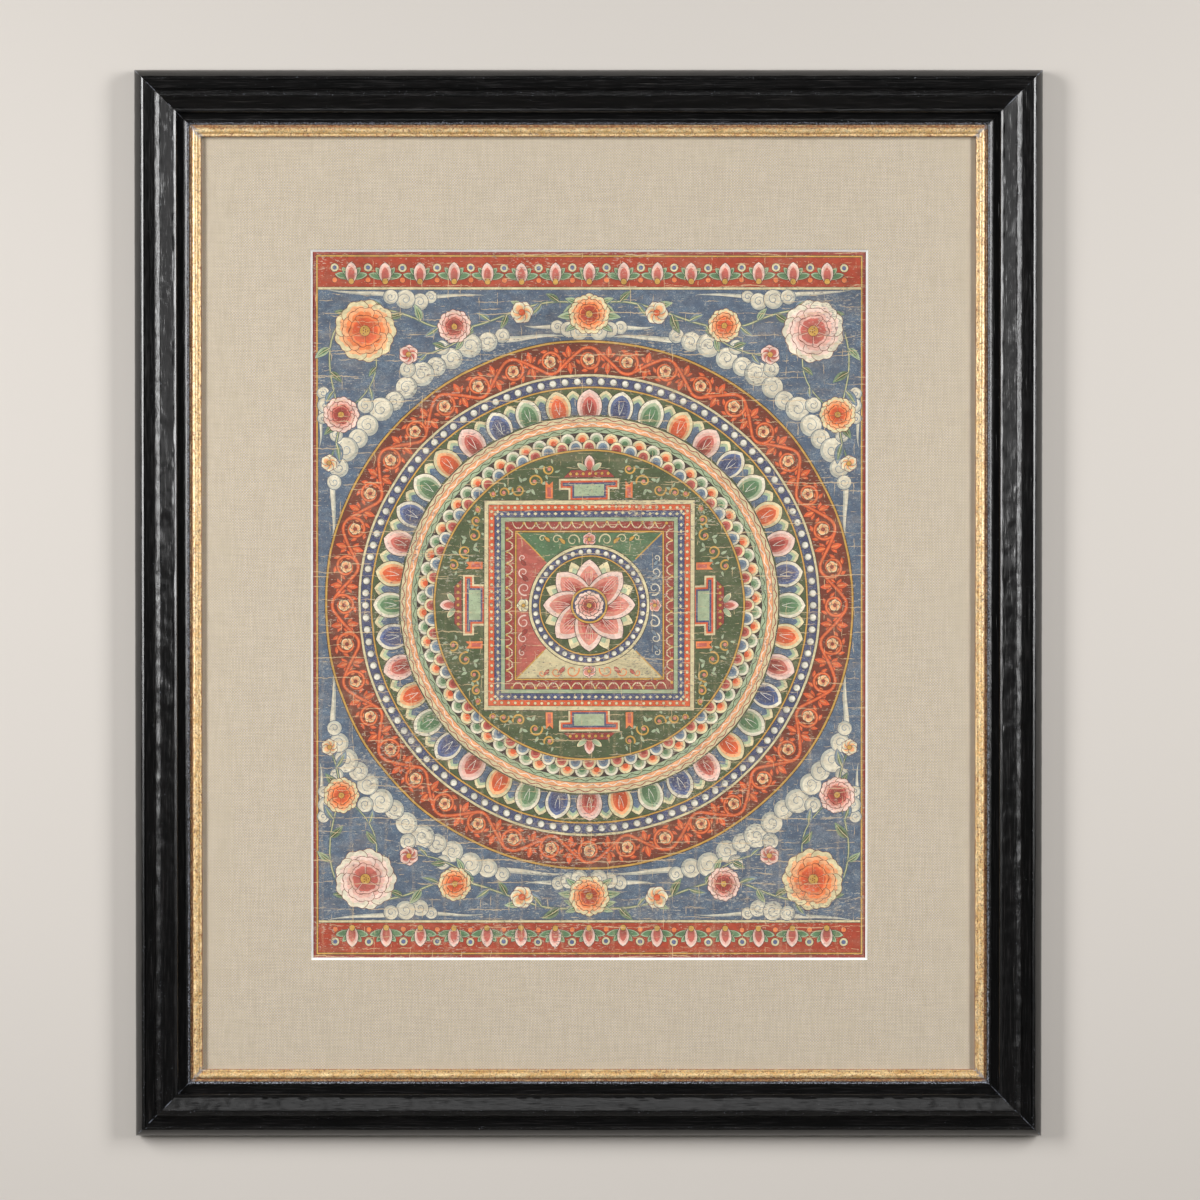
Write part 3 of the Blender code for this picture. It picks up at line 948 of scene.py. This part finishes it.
# Painted shade and light in the weave: the colour is darker where the threads dip between each other and
# lighter on their crowns, through round_thread
colour = f.shade(colour, 0.79 + 0.03 * f.noise(0.16, 3, 0.5, shift=5) + 0.30 * round_thread)
raised = f.bump(round_thread + slubs * 0.5, 0.00016)
linen_finish = f.wear(colour, 0.86 + 0.1 * round_thread, raised)


def window_sheet(name, outer, window, back, front, material):
    """A flat sheet with a window in it: four loops of four corners, joined in a ring."""
    verts, faces = [], []
    for (x0, z0, x1, z1), depth in ((outer, back), (outer, front), (window, front), (window, back)):
        verts += [(x, -depth, z) for x, z in ((x0, z0), (x1, z0), (x1, z1), (x0, z1))]
    for loop in range(4):
        after = (loop + 1) % 4
        for k in range(4):
            turn = (k + 1) % 4
            faces.append((loop * 4 + k, loop * 4 + turn, after * 4 + turn, after * 4 + k))
    return finished(name, verts, faces, material)


low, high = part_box("mat_linen")
half_window = (WINDOW_WIDTH / 2, WINDOW_HEIGHT / 2)
linen = window_sheet(
    "linen_facing",
    (low.x, low.z, high.x, high.z),
    (
        *(cotton_middle.x - half_window[0] - DRAWN_BACK, cotton_middle.z - half_window[1] - DRAWN_BACK),
        *(cotton_middle.x + half_window[0] + DRAWN_BACK, cotton_middle.z + half_window[1] + DRAWN_BACK),
    ),
    LINEN_BACK,
    LINEN_FRONT,
    linen_finish,
)
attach(linen, "root")
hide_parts("mat_linen")

# ---- Gilt slip -----------------------------------------------------------------------------
# A small half-round moulding of soft wood inside the black frame, coated with red bole and
# water gilded. The leaf is rubbed through along its outer edge and at the corners, and dust
# lies in its hollows. Like the frame it is four lengths, sawn at 45 degrees.

OUTER_WIDTH, OUTER_HEIGHT = (cad_box[1][k] - cad_box[0][k] for k in (0, 2))
FRAME_MIDDLE = cad_box[1][2] - OUTER_HEIGHT / 2
MITRE_GAP = 0.00008
SIDES = {"top": (0, True), "right": (90, False), "bottom": (180, True), "left": (270, False)}


def arc(inset, depth, radius, start, end, steps, hand=0.0, wear=0.0):
    """Section points round a centre: inset, depth, how far the hand tool strayed, and wear."""
    angles = np.radians(np.linspace(start, end, steps + 1))
    return [(inset + radius * math.cos(a), depth + radius * math.sin(a), hand, wear) for a in angles]


def rise(start, end, bend, steps, hand=0.0, wear=0.0):
    """Points between two others: bend above 1 leaves the first one flat, below 1 steep."""
    return [
        (start[0] + (end[0] - start[0]) * t, start[1] + (end[1] - start[1]) * t**bend, hand, wear)
        for t in (k / steps for k in range(1, steps))
    ]


def length_tree():
    """Geometry Nodes that sweep a section into one length of frame, mitred at both ends."""
    tree = bpy.data.node_groups.new("mitred length", "GeometryNodeTree")
    sizes = ("Half length", "To middle", "Turn", "Step", "Stray", "Stray size", "Seed")
    inputs = {"Section": "Geometry", "Finish": "Material", **dict.fromkeys(sizes, "Float")}
    for name, kind in inputs.items():
        tree.interface.new_socket(name, in_out="INPUT", socket_type="NodeSocket" + kind)
    tree.interface.new_socket("Length", in_out="OUTPUT", socket_type="NodeSocketGeometry")
    w = Wiring(tree)
    given = tree.nodes.new("NodeGroupInput")
    half, middle, turn, step, stray, stray_size, seed = (Value(w, given.outputs[k]) for k in range(2, 9))

    def joined(x=0.0, y=0.0, z=0.0):
        return w.node("ShaderNodeCombineXYZ", {}, {0: x, 1: y, 2: z})

    def parts(vector):
        sockets = w.node("ShaderNodeSeparateXYZ", {}, {0: vector}).socket.node.outputs
        return [Value(w, socket) for socket in sockets]

    def turned(vector):
        sockets = {"Vector": vector, "Angle": turn}
        return w.node("ShaderNodeVectorRotate", {"rotation_type": "Y_AXIS"}, sockets)

    def in_place(x, y, inset):
        """A point of this length, its inset measured down from the outer edge."""
        return w.vector("ADD", turned(joined(x, y, middle - inset)), (0, 0, FRAME_MIDDLE))

    def stored(geometry, name, kind, value):
        sockets = {"Geometry": geometry, "Name": name, "Value": value}
        return w.node("GeometryNodeStoreNamedAttribute", {"data_type": kind}, sockets)

    def carried(name):
        return w.node("GeometryNodeInputNamedAttribute", {"data_type": "FLOAT"}, {"Name": name})

    ends = {"Start": joined(half * -1), "End": joined(half)}
    line = w.node("GeometryNodeCurvePrimitiveLine", {"mode": "POINTS"}, ends)
    line = w.node("GeometryNodeResampleCurve", {"mode": "LENGTH"}, {"Curve": line, "Length": step})
    section = w.node("GeometryNodeMeshToCurve", {}, {"Mesh": Value(w, given.outputs["Section"])})
    swept = {"Curve": line, "Profile Curve": section, "Fill Caps": True}
    swept = w.node("GeometryNodeCurveToMesh", {}, swept)
    x, y, z = parts(w.node("GeometryNodeInputPosition"))
    share, inset = x / half, z * -1
    swept = stored(swept, "grain", "FLOAT_VECTOR", joined(x, carried("round"), seed))
    swept = stored(swept, "to_mitre", "FLOAT", (1 - abs(share)) * (half - inset))
    straight = in_place(share * (half - inset - MITRE_GAP), y, inset)
    moved = w.vector("ADD", straight, joined(seed, seed, seed))
    noises = {"Vector": moved, "Detail": 4, "Roughness": 0.6, "Scale": 1 / stray_size}
    _, out, across = parts(w.node("ShaderNodeTexNoise", {}, noises, "Color"))
    reach = carried("hand") * stray
    worked = inset + (across - 0.5) * reach
    place = in_place(share * (half - worked - MITRE_GAP), y + (out - 0.5) * reach, worked)
    swept = w.node("GeometryNodeSetPosition", {}, {"Geometry": swept, "Position": place})
    swept = w.node("GeometryNodeRealizeInstances", {}, {"Geometry": swept})
    finish = Value(w, given.outputs["Finish"])
    swept = w.node("GeometryNodeSetMaterial", {}, {"Geometry": swept, "Material": finish})
    w.feed(tree.nodes.new("NodeGroupOutput").inputs["Length"], swept)
    return tree


mitred_length = length_tree()


def from_nodes(name, start, tree, values):
    """The mesh that a Geometry Nodes tree makes of an object, as a plain object."""
    modifier = start.modifiers.new("made", "NODES")
    modifier.node_group = tree
    for item in tree.interface.items_tree:
        if item.in_out == "INPUT" and item.name in values:
            modifier[item.identifier] = values[item.name]
    mesh = bpy.data.meshes.new_from_object(start.evaluated_get(bpy.context.evaluated_depsgraph_get()))
    start.modifiers.clear()
    bpy.data.objects.remove(start)
    mesh.name = name
    return added(name, mesh)


def frame_length(kind, side, section_mm, material, step, stray, stray_size, sharp):
    """One of the four lengths, made from the points of its section."""
    turn, spans_width = SIDES[side]
    half = (OUTER_WIDTH if spans_width else OUTER_HEIGHT) / 2
    across = (OUTER_HEIGHT if spans_width else OUTER_WIDTH) / 2
    section = bpy.data.meshes.new(kind)
    count = len(section_mm)
    loop = [(k, (k + 1) % count) for k in range(count)]
    section.from_pydata([(depth * MM, inset * MM, 0) for inset, depth, *_ in section_mm], loop, [])
    points = np.array(section_mm, np.float32)
    way_round = np.append(0, np.cumsum(np.hypot(*np.diff(points[:, :2], axis=0).T))) * MM
    for name, values in (("hand", points[:, 2]), ("wear", points[:, 3]), ("round", way_round)):
        section.attributes.new(name, "FLOAT", "POINT").data.foreach_set("value", values.astype(np.float32))
    values = {"Half length": half, "To middle": across, "Turn": math.radians(turn), "Step": step}
    values |= {"Stray": stray, "Stray size": stray_size, "Seed": float(turn) / 10, "Finish": material}
    piece = from_nodes(f"{kind}_{side}", added(kind, section), mitred_length, values)
    piece.data.shade_smooth()
    piece.data.set_sharp_from_angle(angle=math.radians(sharp))
    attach(piece, "root")
    return piece


f = Finish("worn water gilding", Specular_IOR_Level=0.5, Coat_Weight=0.7, Coat_Roughness=0.16)
grain_at = f.attribute("grain", "Vector")
wear = f.attribute("wear")
to_mitre = f.attribute("to_mitre")
pores = f.noise(0.0014, 3, 0.75)
specks = f.noise(0.0019, 3, 0.75, shift=9)
tone = f.noise(0.0065, 4, 0.7, (1.6, 0.5, 1), 2, at=grain_at)
rubs = f.noise(0.0024, 4, 0.75, (1.5, 0.6, 1), 7, at=grain_at)
gold = f.mix(f.step(tone, 0.38, 0.62), (224, 182, 120), (249, 220, 166))
gold = f.shade(gold, 0.64 + 0.20 * pores + 0.38 * f.step(pores, 0.38, 0.60))
bole = f.mix(f.step(pores, 0.4, 0.6), (104, 58, 38), (176, 108, 68))
rubbed = f.step(rubs + wear * 0.24, 0.60, 0.68)
pits = f.step(specks + wear * 0.15, 0.57, 0.63)
bare = f.larger(rubbed * 0.8, pits * 0.9)
colour = f.mix(bare, gold, bole)
dust = f.patches(0.54, 0.66, 0.0026, 3, 0.7, shift=5) * 0.45
colour = f.mix(dust, colour, (214, 198, 168))
# At the corners the gilding has gone down to the grey gesso, in streaks
corner = f.step(f.noise(0.0022, 3, 0.65, (3, 1, 1), 11, at=grain_at) - to_mitre * 55, 0.36, 0.46)
colour = f.mix(corner * 0.7, colour, (146, 146, 156))
uneven_wood = f.bump(f.noise(0.012, 2, 0.5, (1, 0.3, 1), 3, at=grain_at), 0.00025)
gilt = f.wear(
    colour,
    0.24 + 0.26 * bare + 0.16 * pores + 0.15 * dust,
    f.bump(pores * 1.3 - bare * 0.5, 0.00030, uneven_wood),
    0.38 * (1 - bare * 0.85) * (1 - dust) * (1 - corner),
)

LIP_MM, SIGHT_MM, RABBET_MM = 46.7, 56.6, 40.0
SLIP_BACK_MM, FLANGE_MM = 8.8, 12.0
slip_section = [
    *((RABBET_MM + 0.6, SLIP_BACK_MM, 0, 1), (RABBET_MM + 0.6, FLANGE_MM, 0, 1), (46.8, FLANGE_MM, 0, 1)),
    *((46.9, 12.5, 0.3, 0.6), (48.0, 12.9, 0.4, 0.6), (48.3, 12.5, 0.5, 1), (48.9, 12.3, 0.5, 1)),
    *(*arc(51.5, 12.2, 2.6, 165, 126, 5, 0.5, 0.3), *arc(51.7, 12.2, 2.6, 106, 16, 9, 0.5, 0.0)),
    *((54.5, 12.7, 0.5, 0.2), (55.6, 13.1, 0.5, 0), (56.1, 13.0, 0.5, 0.1), (56.5, 12.6, 0.4, 0.5)),
    *((SIGHT_MM, 12.0, 0, 1), (SIGHT_MM, SLIP_BACK_MM, 0, 1)),
]
for side in SIDES:
    hand_work = {"step": 0.0022, "stray": 0.0009, "stray_size": 0.012, "sharp": 42}
    slip = frame_length("gilt_slip", side, slip_section, gilt, **hand_work)
    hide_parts(f"slip_{side}")

# ---- Black frame ---------------------------------------------------------------------------
# Four lengths of fine-grained wood with a high crest, shaped by hand, a long inward slope, a
# bead and a thin lip; mitred, glued, stained black, waxed and polished. Its edges are rubbed
# grey, and the lip is chipped.

f = Finish("ebonised wood", Specular_IOR_Level=0.62)
grain_at = f.attribute("grain", "Vector")
wear = f.attribute("wear")
to_mitre = f.attribute("to_mitre")
hand = f.attribute("hand")
fibre = f.noise(0.0009, 3, 0.6, (30, 1, 1), 2, at=grain_at)
figure = f.noise(0.0036, 3, 0.6, (14, 1, 1), 9, at=grain_at)
scraped = (f.noise(0.0026, 4, 0.7, (3.5, 1, 1), 12, at=grain_at) - 0.5) * f.step(hand, 0.4, 1)
wax = f.noise(0.014, 4, 0.6, (3, 0.6, 1), 4, at=grain_at)
scratches = f.patches(0.70, 0.76, 0.0008, 2, 0.5, (60, 1, 1), 14, at=grain_at)
colour = f.mix(f.step(figure, 0.40, 0.62), (7, 7, 7), (13, 12, 12))
colour = f.mix(f.step(fibre, 0.54, 0.68) * 0.5, colour, (48, 46, 46))
dusty = f.patches(0.66, 0.74, 0.0012, 3, 0.75, shift=3) * 0.10
polished = f.step(wear, 0.02, 0.10)  # where hands and dusters have rubbed the high edges
grit = f.noise(0.0011, 3, 0.75, shift=6)
chips = f.step(grit + wear * 0.20, 0.70, 0.76)
opened = f.patches(0.47, 0.62, 0.011, 3, 0.65, shift=8)
mitre_line = (1 - f.step(to_mitre, 0.0001, 0.0006)) * opened
colour = f.mix(dusty + scratches * 0.12, colour, (120, 114, 108))
colour = f.mix(f.larger(chips * 0.75, mitre_line * 0.6), colour, (160, 166, 180))
worked = fibre * 0.5 + figure + scraped * 3.4 + (grit - 0.5) * wear * 1.6 - scratches * 0.3
ebonised = f.wear(
    colour,
    0.11 + 0.06 * polished + 0.06 * wax + 0.04 * fibre + 0.3 * dusty + 0.30 * chips,
    f.bump(worked - chips * 0.6, 0.00013),
)

# Inset, depth, how far the hand strayed, and wear; the crest and the narrow fillets lean
# outwards by about 20 degrees, and so take the light of a lamp at their own side
side_end, crest_foot, crest_roll = (7.2, 16.8), (20.1, 23.85), arc(24.1, 24.2, 1.28, 109, 66, 5, 0.7, 0.25)
rail_section = [
    *((0, 0, 0, 0), (0, 1.2, 0, 0.2), *rise((0, 1.2), side_end, 0.42, 12, 0.15), (*side_end, 0.1, 0)),
    *((7.5, 16.6, 0.1, 0), (7.9, 17.15, 0.1, 0.3), (9.3, 17.63, 0.1, 0.2), (9.7, 17.5, 0.1, 0.3)),
    *((10.0, 16.7, 0.2, 0), *rise((10.0, 16.7), (16.8, 17.0), 1, 5, 0.3), (16.8, 17.0, 0.3, 0)),
    *((18.4, 18.5, 0.5, 0), (19.6, 20.3, 0.6, 0), (20.3, 22.3, 0.8, 0), (*crest_foot, 0.9, 0.1)),
    *(*rise(crest_foot, crest_roll[0], 0.8, 7, 0.9, 0.25), *crest_roll),
    *(*rise(crest_roll[-1], (34.6, 20.9), 1.0, 9, 0.5), (34.6, 20.9, 0.25, 0)),
    *((35.0, 20.95, 0.1, 0.1), (36.8, 21.6, 0.1, 0.1), (37.2, 21.5, 0.1, 0.2), (37.5, 21.0, 0.1, 0.1)),
    *((37.8, 14.7, 0.2, 0), *rise((37.8, 14.7), (42.6, 14.5), 1, 4, 0.2), (42.6, 14.5, 0.2, 0)),
    *((43.1, 14.65, 0.3, 0.15), (45.1, 15.38, 0.3, 0.3), (45.5, 15.2, 0.4, 1.1), (45.8, 14.5, 0.5, 1.0)),
    *((46.3, 14.3, 0.5, 1.0), (LIP_MM, 13.9, 0.3, 1), (LIP_MM, 12.3, 0, 0)),
    *((RABBET_MM, 12.3, 0, 0), (RABBET_MM, 0, 0, 0)),
]
for side in SIDES:
    hand_work = {"step": 0.0022, "stray": 0.0026, "stray_size": 0.017, "sharp": 28}
    rail = frame_length("black_moulding", side, rail_section, ebonised, **hand_work)
    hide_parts(f"rail_{side}")

# ---- Stage ---------------------------------------------------------------------------------
# Not part of the object: a plain wall just behind it, a floor, soft lights and the camera.


def plain(name, colour, seen_from_front_only=False):
    f = Finish(name, Base_Color=(*colour, 1.0), Roughness=0.9)
    if seen_from_front_only:
        clear = f.node("ShaderNodeBsdfTransparent")
        behind = f.node("ShaderNodeNewGeometry", out="Backfacing")
        shown = f.node("ShaderNodeMixShader", {}, {0: behind, 1: Value(f, f.shader.outputs[0]), 2: clear})
        f.feed(f.tree.nodes["Material Output"].inputs["Surface"], shown)
    return f.material


WALL_AT, FLOOR_AT = 0.003, -2.70
wall_corners = [(-4, WALL_AT, FLOOR_AT), (4, WALL_AT, FLOOR_AT), (4, WALL_AT, 3), (-4, WALL_AT, 3)]
wall = finished("wall", wall_corners, [(0, 1, 2, 3)], plain("wall paint", linear(206, 200, 193), True))
floor_corners = [(-5, -5, FLOOR_AT), (5, -5, FLOOR_AT), (5, 5, FLOOR_AT), (-5, 5, FLOOR_AT)]
floor = finished("floor", floor_corners, [(0, 1, 2, 3)], plain("floor paint", linear(184, 181, 177)))
wall.visible_shadow = False  # so that the rear fill lights the back of the frame


def soft_light(name, place, aim, width, height, strength, spread=180):
    """A soft box of that brightness, turned towards a point."""
    light = bpy.data.lights.new(name, "AREA")
    light.shape, light.size, light.size_y = "RECTANGLE", width, height
    light.energy, light.spread = strength * math.pi * width * height, math.radians(spread)
    made = added(name, light)
    made.location = place
    made.rotation_euler = (Vector(aim) - Vector(place)).to_track_quat("-Z", "Y").to_euler()


aim = (0, 0, FRAME_MIDDLE - 0.25)
for side, name, key in ((-1, "left", 6.6), (1, "right", 5.6)):
    place = (side * 1.78, -1.34, FRAME_MIDDLE + 0.56)
    soft_light(f"{name} soft box", place, aim, width=0.54, height=1.5, strength=key, spread=100)
    place = (side * 1.42, -2.30, FRAME_MIDDLE + 0.75)
    soft_light(f"{name} dim panel", place, aim, width=0.60, height=1.4, strength=0.95)
soft_light("overhead panel", (0, -3.2, FRAME_MIDDLE + 2.2), (0, 0, FRAME_MIDDLE - 0.4), 2.0, 0.8, 1.35)
soft_light("rear fill", (1.3, 2.6, FRAME_MIDDLE + 0.9), (0, 0, FRAME_MIDDLE), 2.0, 2.0, 5.5)
world = bpy.data.worlds.new("studio")
world.use_nodes = True
background = world.node_tree.nodes["Background"].inputs
background["Color"].default_value, background["Strength"].default_value = (1, 1, 1, 1), 0.05
bpy.context.scene.world = world
bpy.context.scene.view_settings.view_transform = "Standard"

lens = bpy.data.cameras.new("camera")
lens.lens, lens.sensor_width = 100, 36
camera = added("camera", lens)
AWAY, TO_RIGHT, ABOVE_MIDDLE, LOOKING_DOWN = 2.7767, 0.0095, 0.037, 0.7  # the last in degrees
camera.location = (TO_RIGHT, -AWAY, FRAME_MIDDLE + ABOVE_MIDDLE)
camera.rotation_euler = (math.radians(90 - LOOKING_DOWN), 0, 0)
bpy.context.scene.camera = camera
